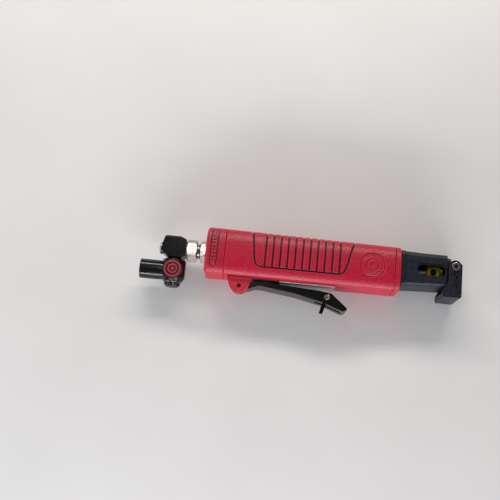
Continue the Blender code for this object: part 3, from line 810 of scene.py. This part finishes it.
def lever_outline():
    root = arc((0, 0), 3.1, 90, 300, 28)
    underside = [root[-1], (8.0, -0.8), (14.0, 1.6), (42.0, -1.9), (62.0, -6.2), (77.5, -11.6)]
    lower = soften(underside, 12, 8, False)
    tip = soften([lower[-1], (80.4, -10.6), (80.6, -9.0), (68.5, 0.9)], 0.8, 4, False)
    upper = soften([tip[-1], (60.0, 2.1), (30.0, 3.8), (12.0, 4.9), root[0]], 10, 8, False)
    return root + lower[1:] + tip[1:] + upper[1:-1]


def make_lever():
    lever = prism("lever_arm", lever_outline(), -LEVER_Z, LEVER_Z, BLACK, centre=PIVOT)
    inner = LEVER_Z - SHEET
    floor = [(15.0, 2.8), (42.0, -0.6), (62.0, -4.9), (77.2, -10.1)]
    hollow = [(15.0, 10.0), *soften(floor, 12, 8, False), (77.2, 10.0)]
    shoulder = [(-14, -12), (11.0, -12), (13.0, -6), (13.0, 8), (-14, 8)]
    slot = [(57.0, -15.0), (76.4, -15.0), (76.4, -2.6), (57.0, -2.6)]
    cut(
        lever,
        prism("cheek_near", soften(shoulder, 2.0, 5), ROOT_Z, 12, BLACK, centre=PIVOT),
        prism("cheek_far", soften(shoulder, 2.0, 5), -12, -ROOT_Z, BLACK, centre=PIVOT),
        prism("hollow", hollow, -inner, inner, BLACK, centre=PIVOT),
        prism("slot", slot, -2.5, 2.5, BLACK, centre=PIVOT),
        revolve("pin_way", disc_profile(PIN_WAY, -12, 12, 0.1), "z", PIVOT, BLACK, 32),
        revolve("catch_way", disc_profile(CATCH_WAY, -12, 12, 0.1), "z", CATCH, BLACK, 32),
    )
    bevel(lever, 0.3, 3)
    return add(lever, "lever", "black_steel", "lever")


def make_pins():
    head, rod = 2.1, 1.0
    ring = [(head, 9.8), (head, 8.9), (rod, 8.9), (rod, -8.9), (head, -8.9), (head, -9.8)]
    profile = [(0, 9.3), (1.1, 9.3), (1.4, 9.8), *ring, (1.4, -9.8), (1.1, -9.3), (0, -9.3)]
    pin = revolve("catch_rivet", soften(profile, 0.25, 3, False), "z", CATCH, BRIGHT, 40)
    for side in (8.9, -9.9):
        spot = (CATCH[0] - 0.3, CATCH[1] - 3, side), (CATCH[0] + 0.3, CATCH[1] + 3, side + 1.0)
        cut(pin, block("slot", *spot, BRIGHT))
    add(pin, "lever", "bright_steel", "catch_pin")
    dowel = revolve("hinge_pin", disc_profile(1.3, -8.6, 8.6, 0.25), "z", PIVOT, BLACK, 40)
    add(dowel, "tool", "ground_steel", "lever_pin")


def make_catch():
    lean = Vector((-0.324, -0.946))
    across = Vector((lean.y, -lean.x)) * 1.7
    hub, tip = lean * 1.6, lean * 11.6
    waist = lean * 7.0
    right = [hub - across, waist - across * 0.7, tip - across * 0.85]
    left = [tip + across * 0.75, waist + across * 0.9, hub + across]
    leg = [(-0.6, 2.0), (-0.6, 5.0), (0.6, 5.0), (0.6, 2.0)]
    outline = [tuple(p) for p in left] + arc((0, 0), 2.1, 190, 108, 9) + leg
    outline += arc((0, 0), 2.1, 72, -40, 12) + [tuple(p) for p in right]
    catch = prism("lock_catch", soften(outline, 0.7, 4), -1.9, 1.9, BLACK, centre=CATCH)
    cut(catch, revolve("catch_bore", disc_profile(CATCH_WAY, -5, 5, 0.1), "z", CATCH, BLACK, 32))
    bevel(catch, 0.25, 3)
    return add(catch, "catch", "black_steel", "safety_catch")


# ---------------------------------------------------------------- nose and guard

NOSE_REAR, NOSE_FRONT, NOSE_FACE = 72.4, 105.9, 109.4
NOSE_Z = 13.8
GUARD = (middle("shoe_screw_near", 0), middle("shoe_screw_near", 1))


def rounded(low_y, high_y, half_z, radius, steps=8):
    points = []
    corners = ((high_y, half_z), (low_y, half_z), (low_y, -half_z), (high_y, -half_z))
    for (y, z), start in zip(corners, (0, 90, 180, 270)):
        centre = (y - math.copysign(radius, y), z - math.copysign(radius, z))
        points += arc(centre, radius, start, start + 90, steps)
    return points


def nose_section(x, shrink=0.0):
    t = (x - NOSE_REAR) / (NOSE_FRONT - NOSE_REAR)
    low, high = -13.3 + 2.0 * t, 13.9 - 1.1 * t
    return x, rounded(low + shrink, high - shrink, NOSE_Z - shrink, 4.0 - 0.4 * t)


def stadium(low, high, half):
    left = arc((low + half, 0), half, 90, 270, 14)
    return left + arc((high - half, 0), half, -90, 90, 14)


def make_nose():
    root = [nose_section(NOSE_REAR + step, shrink) for step, shrink in ((0.0, 0.7), (0.25, 0.25), (0.8, 0.0))]
    collar = [nose_section(NOSE_REAR + 2.4, 0.0), nose_section(NOSE_REAR + 3.0, 0.35)]
    body = [nose_section(80.0, 0.35), nose_section(92.0, 0.3), nose_section(NOSE_FRONT, 0.0)]
    nose = loft("nose_casting", root + collar + body, CAST)
    tongue = rounded(-10.8, 11.6, 9.4, 3.0, 6)
    join(
        nose,
        revolve("spigot", disc_profile(12.2, 66.4, 76, 0.4), "x", (0, 0), CAST, 64),
        loft("tongue", [(98, tongue), (NOSE_FACE, tongue)], CAST),
    )
    for side, low in (("near", 5.4), ("far", -9.4)):
        lug = arc(GUARD, 3.2, 90, -90, 18) + [(104.0, GUARD[1] - 3.2), (104.0, GUARD[1] + 3.2)]
        join(nose, prism("lug_" + side, lug, low, low + 4.0, CAST))
    relief = [(102.6, -20.0), (102.6, -13.4), (106.5, -6.2), (110.0, -6.2), (110.0, -20.0)]
    tools = []
    for side, low, face in (("near", 9.4, NOSE_Z), ("far", -20.0, -NOSE_Z)):
        tools.append(prism("relief_" + side, relief, low, low + 10.6, CAST))
        seam = sorted((face - 0.75 * (1 if face > 0 else -1), face * 1.2))
        tools.append(block("lid_line_" + side, (78.0, 4.45, seam[0]), (107, 5.0, seam[1]), CAST))
        tools.append(block("lid_end_" + side, (77.6, 4.45, seam[0]), (78.15, 15, seam[1]), CAST))
    rim = stadium(84.0, 105.6, 4.8)
    for low, high in ((NOSE_Z - 0.9, 20), (-20, -NOSE_Z + 0.9)):
        tools.append(prism("rim", rim, low, high, CAST))
    tools += [
        revolve("cavity", disc_profile(9.0, 76.5, 106.6, 0.5), "x", (0, 0), CAST, 64),
        revolve("rod_way", disc_profile(5.0, 60, 80, 0.1), "x", (0, 0), CAST, 48),
        prism("window", stadium(84.6, 105.2, 4.2), -20, 20, CAST),
        block("blade_way", (103, -8.4, -3.4), (125, 8.4, 3.4), CAST),
        revolve("screw_way", disc_profile(2.0, -12, 12, 0.1), "z", GUARD, CAST, 32),
    ]
    cut(nose, *tools)
    bevel(nose, 0.28, 2, 32)
    return add(nose, "tool", "charcoal_cast", "nose")


def make_guard():
    front, low_y = 117.0, -18.8
    outline = arc(GUARD, 5.0, 200, 60, 20)
    face = [(front, 6.0), (front, low_y)]
    foot = [(103.2, low_y), (103.2, -14.4), (107.1, -7.2), (107.1, 2.0)]
    outline += soften([outline[-1], *face, *foot, outline[0]], 1.6, 5, False)[1:-1]
    guard = prism("guard", outline, -13.6, 13.6, CAST)
    inner = [(98, -15.2), (115.3, -15.2), (115.3, 20), (98, 20)]
    tools = [
        prism("inside", inner, -9.8, 9.8, CAST),
        block("slot", (114, -8.4, -2.7), (125, 8.4, 2.7), CAST),
        block("pad_slot", (109.4, -10.6, -20), (111.3, -1.6, 20), CAST),
        revolve("way", disc_profile(2.0, -20, 20, 0.1), "z", GUARD, CAST, 32),
    ]
    for side, low in (("near", 12.6), ("far", -15.6)):
        tools.append(block("line_" + side, (112.3, -11.4, low), (113.9, -2.0, low + 3.0), CAST))
    cut(guard, *tools)
    bevel(guard, 0.4, 3)
    add(guard, "shoe", "charcoal_cast", "shoe")
    for side, low in (("near", 10.2), ("far", -13.2)):
        pad = block("pad_" + side, (109.7, -10.3, low), (111.0, -1.9, low + 3.0), DARK_RED)
        bevel(pad, 0.25, 2)
        add(pad, "shoe", "badge_print", "guide_pad_" + side)


def make_guard_screws():
    for side, sign in (("near", 1), ("far", -1)):
        head, shank = 3.1, 1.7
        profile = [(0, 15.9), (head, 15.9), (head, 13.9), (shank, 13.9), (shank, 5.8), (0, 5.8)]
        profile = [(r, h * sign) for r, h in soften(profile, 0.45, 4, False)]
        screw = revolve("guard_screw_" + side, profile, "z", GUARD, BRIGHT, 48)
        socket = [(r * math.cos(a), r * math.sin(a)) for r, a in
                  ((1.9 if i % 2 == 0 else 1.15, TAU * i / 6 + 0.5) for i in range(6))]
        low, high = sorted((sign * 14.5, sign * 18.0))
        cut(screw, prism("socket", soften(socket, 0.5, 3), low, high, BRIGHT, centre=GUARD))
        bevel(screw, 0.15, 2)
        # painted shade: a thin black disc at the bottom of each socket stands for the shade down in it
        low, high = sorted((sign * 14.2, sign * 14.7))
        floor = prism("painted_socket_shade_" + side, soften(socket, 0.5, 3), low, high, GLOSS, centre=GUARD)
        add(floor, "tool", "bright_steel")
        add(screw, "tool", "bright_steel", "shoe_screw_" + side)


def make_chuck():
    """Everything of the ram that shows: the chuck, its screws and the rod."""
    rear, front = edge_of("chuck", 0, False), edge_of("chuck", 0, True)
    profile = [(0, rear), (6.8, rear), (6.8, 101.2), (4.4, front), (0, front)]
    chuck = revolve("blade_chuck", soften(profile, 0.6, 4, False), "x", (0, 0), LOOK["brass"], 64)
    screw_x = middle("chuck_screw_near", 0)
    cut(
        chuck,
        block("blade_way", (94.5, -5.2, -0.8), (110, 5.2, 0.8), LOOK["brass"]),
        revolve("screw_way", disc_profile(2.5, -9, 9, 0.1), "z", (screw_x, 0), LOOK["brass"], 32),
    )
    bevel(chuck, 0.2, 2)
    add(chuck, "ram", "brass", "chuck")
    rod_rear, rod_front = edge_of("piston_rod", 0, False), edge_of("piston_rod", 0, True)
    rod = revolve("rod", disc_profile(4.5, rod_rear, rod_front, 0.4), "x", (0, 0), GROUND, 48)
    add(rod, "ram", "ground_steel", "piston_rod")
    for side, sign in (("near", 1), ("far", -1)):
        profile = [(0, 3.2), (2.2, 3.2), (2.2, 7.3), (0, 7.3)]
        profile = [(r, h * sign) for r, h in soften(profile, 0.3, 3, False)]
        screw = revolve("clamp_screw_" + side, profile, "z", (screw_x, 0), BLACK, 40)
        low, high = sorted((sign * 5.4, sign * 8.0))
        socket = [(1.35 * math.cos(TAU * i / 6), 1.35 * math.sin(TAU * i / 6)) for i in range(6)]
        cut(screw, prism("socket", socket, low, high, BLACK, centre=(screw_x, 0)))
        add(screw, "ram", "black_steel", "chuck_screw_" + side)


# ---------------------------------------------------------------- swivel inlet

SWING_X = middle("badge_cap", 0)
PORT_Y = middle("badge_cap", 1)
HEX_FLATS = 15.0
THREAD_RADIUS, THREAD_DEPTH, THREAD_PITCH = 5.95, 0.9, 1.4
HOLE = 5.9  # the barrel's bore


def hex_nut(name, low, high, look):
    """A hexagon along X with the corners turned off at both ends."""
    radius = HEX_FLATS / 2 / math.cos(math.radians(30))
    outline = [(radius * math.cos(TAU * i / 6), radius * math.sin(TAU * i / 6)) for i in range(6)]
    nut = prism(name, outline, low, high, look, "x")
    turned = [(0, low - 0.1), (7.25, low - 0.1), (8.8, low + 0.9), (8.8, high - 0.9), (7.25, high + 0.1)]
    turned.append((0, high + 0.1))
    return keep(nut, revolve("turned", turned, "x", (0, 0), look, 96))


def thread(name, outer, depth, pitch, low, high, look):
    """A helical thread along X."""
    sides = 48
    edit = bmesh.new()
    steps = math.ceil((high - low) / pitch * 8)
    rings = [[edit.verts.new(world(low, 0, 0))]]
    for step in range(steps + 1):
        x = low + (high - low) * step / steps
        ring = []
        for side in range(sides):
            angle = TAU * side / sides
            phase = (x / pitch - side / sides) % 1
            radius = outer - depth * abs(phase * 2 - 1) ** 0.8
            ring.append(edit.verts.new(world(x, radius * math.cos(angle), radius * math.sin(angle))))
        rings.append(ring)
    rings.append([edit.verts.new(world(high, 0, 0))])
    for first, second in zip(rings, rings[1:]):
        for i in range(sides):
            j = (i + 1) % sides
            edit.faces.new(corners_between(first, second, i, j))
    return finished(name, edit, look)


def make_stem():
    """The inlet bushing and the stem: two hexagons, a thread, a spindle and its end button."""
    bushing = hex_nut("bushing_hex", -76.6, -72.3, BRIGHT)
    neck = revolve("bushing", tube_profile(6.3, 7.7, -72.6, -60, 0.2), "x", (0, 0), BRIGHT, 64)
    add(neck, "tool", "bright_steel", "inlet_bushing")
    cut(bushing, revolve("way", disc_profile(6.33, -90, -50, 0.1), "x", (0, 0), BRIGHT, 50))
    bevel(bushing, 0.2, 2, 24)
    add(bushing, "tool", "bright_steel", "inlet_bushing")
    nut = hex_nut("stem_hex", -86.8, -79.1, BRIGHT)
    cut(nut, revolve("way", disc_profile(4.4, -90, -76, 0.1), "x", (0, 0), BRIGHT, 48))
    bevel(nut, 0.2, 2, 24)
    add(nut, "tool", "bright_steel", "swivel_stem")
    screwed = thread("stem_thread", THREAD_RADIUS, THREAD_DEPTH, THREAD_PITCH, -79.6, -64, GROUND)
    add(screwed, "tool", "bright_steel", "swivel_stem")
    low, high = edge_of("swivel_stem", 0, False), -79.8
    spindle = revolve("spindle", disc_profile(4.5, low, high, 0.3), "x", (0, 0), GROUND, 48)
    add(spindle, "tool", "bright_steel", "swivel_stem")
    low, high = edge_of("stem_end_cap", 0, False), edge_of("stem_end_cap", 0, True)
    profile = [(0, low + 0.7), (2.0, low + 0.6), (2.6, low), (4.0, low), (4.6, low + 0.7), (4.6, high)]
    profile.append((0, high))
    button = revolve("end_button", soften(profile, 0.4, 4, False), "x", (0, 0), BRIGHT, 48)
    add(button, "tool", "bright_steel", "stem_end_cap")


def make_head():
    left, right = -105.2, -87.2
    outline = [(left + 1.6, 8.4), (left + 2.6, 9.1), (right - 5.0, 9.1), (right, 6.4), (right, -3.0)]
    outline += [(SWING_X + 5.2, -8.0), (SWING_X - 4.6, -8.0), (left, -2.9), (left, 1.8)]
    head = prism("head_block", soften(outline, 0.9, 4), -8.2, 8.2, MATT_BLACK)
    keep(head, revolve("turned", disc_profile(10.9, -106.4, -86, 1.6), "x", (0, 0), MATT_BLACK, 72))
    bevel(head, 0.55, 3, 30)
    join(
        head,
        revolve("spigot", disc_profile(5.6, -25.0, -5, 0.3), "y", (SWING_X, 0), GLOSS, 48),
        revolve("spigot_end", disc_profile(3.6, -26.3, -20, 0.2), "y", (SWING_X, 0), GLOSS, 48),
    )
    bore, seal = 4.8, 5.9
    edges = [(0, -85.0), (bore, -85.0)]
    for low in (-92.0, -101.0):
        edges += [(bore, low + 2.2), (seal, low + 2.2), (seal, low), (bore, low)]
    edges += [(bore, -106.0), (0, -106.0)]
    cut(
        head,
        revolve("bore", edges, "x", (0, 0), GLOSS, 48),
        revolve("air_way", disc_profile(2.7, -30, 0, 0.1), "y", (SWING_X, 0), GLOSS, 32),
    )
    return add(head, "swivel_head", "black_composite", "swivel_head")


def make_barrel():
    """The swivel's barrel with its hose port and the boss under the badge."""
    low, top, radius = -25.0, -8.6, 8.8
    profile = [(HOLE, top), (radius, top), (radius, low + 3.0), (6.8, low), (HOLE, low)]
    profile = soften(profile, 0.8, 5)
    barrel = revolve("barrel", profile, "y", (SWING_X, 0), GLOSS, 80)
    end = edge_of("swivel_body", 0, False)
    tube = [(0, SWING_X - 7), (7.0, SWING_X - 7), (7.3, -108), (7.3, end), (6.2, end), (5.6, end + 0.8)]
    tube += [(5.6, SWING_X - 8.4), (0, SWING_X - 8.4)]
    port = revolve("port", soften(tube, 0.5, 4, False), "x", (PORT_Y, 0), GLOSS, 72)
    boss = revolve("boss", disc_profile(7.3, 5, 9.4, 0.5), "z", (SWING_X, PORT_Y), GLOSS, 72)
    cut(boss, revolve("way", disc_profile(HOLE, -30, 0, 0.1), "y", (SWING_X, 0), GLOSS, 48))
    join(barrel, boss)
    join(barrel, port)
    cut(
        barrel,
        revolve("way", disc_profile(HOLE, -30, 0, 0.1), "y", (SWING_X, 0), GLOSS, 64),
        revolve("throat", disc_profile(2.4, -110, SWING_X - 4, 0.1), "x", (PORT_Y, 0), GLOSS, 32),
    )
    bevel(barrel, 0.3, 3, 34)
    return add(barrel, "swivel_body", "black_composite", "swivel_body")


def make_badge():
    """A plain target of rings in place of the maker's sign."""
    spot = (SWING_X, PORT_Y)
    disc = revolve("badge_disc", disc_profile(7.3, 9.7, 10.3, 0.25), "z", spot, LOOK["badge_print"], 72)
    add(disc, "swivel_body", "badge_print", "badge_cap")
    for name, inner, outer in (("outer", 5.3, 6.2), ("inner", 2.7, 3.5)):
        profile = tube_profile(inner, outer, 10.2, 10.48, 0.1)
        ring = revolve("badge_ring_" + name, profile, "z", spot, RED_PRINT, 72)
        add(ring, "swivel_body", "badge_print")
    dot = revolve("badge_dot", disc_profile(1.1, 10.2, 10.48, 0.1), "z", spot, RED_PRINT, 32)
    add(dot, "swivel_body", "badge_print")


def make_knob():
    spot = (SWING_X, 0)
    low, top, radius = -28.9, -26.2, 6.1
    profile = [(0, -21.0), (2.3, -21.0), (2.3, top), (radius, top), (radius, low + 1.8), (radius - 1.8, low)]
    profile = soften(profile + [(1.6, low), (1.2, low + 0.6), (0, low + 0.6)], 0.5, 5, False)
    knob = revolve("knob", profile, "y", spot, GLOSS, 96, (8, 0.9, 3.9))
    add(knob, "knob", "black_composite", "regulator_knob")
    washer = revolve("washer", tube_profile(3.9, 6.3, -26.0, -25.3, 0.15), "y", spot, BRIGHT, 56)
    add(washer, "swivel_head", "bright_steel", "body_washer")


# ---------------------------------------------------------------- carried-over nodes


def dress_nodes():
    """Every CAD node takes its slot's procedural material."""
    for part in frame["record"]["subparts"]:
        node = frame["nodes"][part["node"]]
        node.data.materials.clear()
        node.data.materials.append(LOOK[part["material_slot"]])


# ---------------------------------------------------------------- studio

CAMERA_PLACE = (-0.02208, -0.13971, 0.60933)
CAMERA_ROWS = ((0.99486618, 0.10106985, -0.00511459), (0.09692098, -0.96613008, -0.23916312),
               (-0.02911354, 0.23743959, -0.97096593))
LENS = 58.18


def make_camera():
    """The rows of CAMERA_ROWS are the camera's right, down and forward directions."""
    right, down, ahead = (Vector(row) for row in CAMERA_ROWS)
    camera = bpy.data.objects.new("camera", bpy.data.cameras.new("camera"))
    camera.data.lens = LENS
    camera.data.sensor_width = 36.0
    camera.data.clip_start = 0.01
    matrix = camera.matrix_world.copy()
    for row in range(3):
        matrix[row][0], matrix[row][1], matrix[row][2] = right[row], -down[row], -ahead[row]
        matrix[row][3] = CAMERA_PLACE[row]
    camera.matrix_world = matrix
    bpy.context.scene.collection.objects.link(camera)
    bpy.context.scene.camera = camera


def area_light(name, place, target, size, power, colour=(1, 1, 1)):
    data = bpy.data.lights.new(name, "AREA")
    data.shape = "RECTANGLE"
    data.size, data.size_y = size
    data.energy = power
    data.color = colour
    light = bpy.data.objects.new(name, data)
    light.location = place
    way = Vector(target) - Vector(place)
    light.rotation_euler = way.to_track_quat("-Z", "Y").to_euler()
    bpy.context.scene.collection.objects.link(light)


def make_studio():
    """A pale floor, four soft lights and a dim sky."""
    edit = bmesh.new()
    bmesh.ops.create_grid(edit, x_segments=8, y_segments=8, size=1.6)
    floor = finished("floor", edit, floor_paper())
    centre = (0.0, 0.0, 0.01)
    area_light("back", (-0.05, 0.60, 0.46), centre, (0.9, 0.10), 4.6, (1.0, 0.95, 0.90))
    area_light("front", (0.0, -0.74, 0.23), centre, (0.9, 0.12), 6.6, (0.97, 0.98, 1.0))
    area_light("side", (-0.66, -0.10, 0.34), centre, (0.3, 0.4), 0.9, (0.95, 0.97, 1.0))
    area_light("top", (-0.124, 0.14, 0.60), (-0.083, 0.0, 0.02), (0.08, 0.16), 0.12)
    world_look = bpy.data.worlds.new("studio")
    world_look.use_nodes = True
    world_look.node_tree.nodes["Background"].inputs["Color"].default_value = (0.9, 0.93, 1.0, 1)
    world_look.node_tree.nodes["Background"].inputs["Strength"].default_value = 0.14
    bpy.context.scene.world = world_look
    bpy.context.scene.view_settings.view_transform = "Standard"


dress_nodes()
make_grip()
make_rear_cap()
make_collar()
make_lever_mount()
make_painted_shadow_plate()
make_label()
make_lever()
make_pins()
make_catch()
make_nose()
make_guard()
make_guard_screws()
make_chuck()
make_stem()
make_head()
make_barrel()
make_badge()
make_knob()
make_camera()
make_studio()
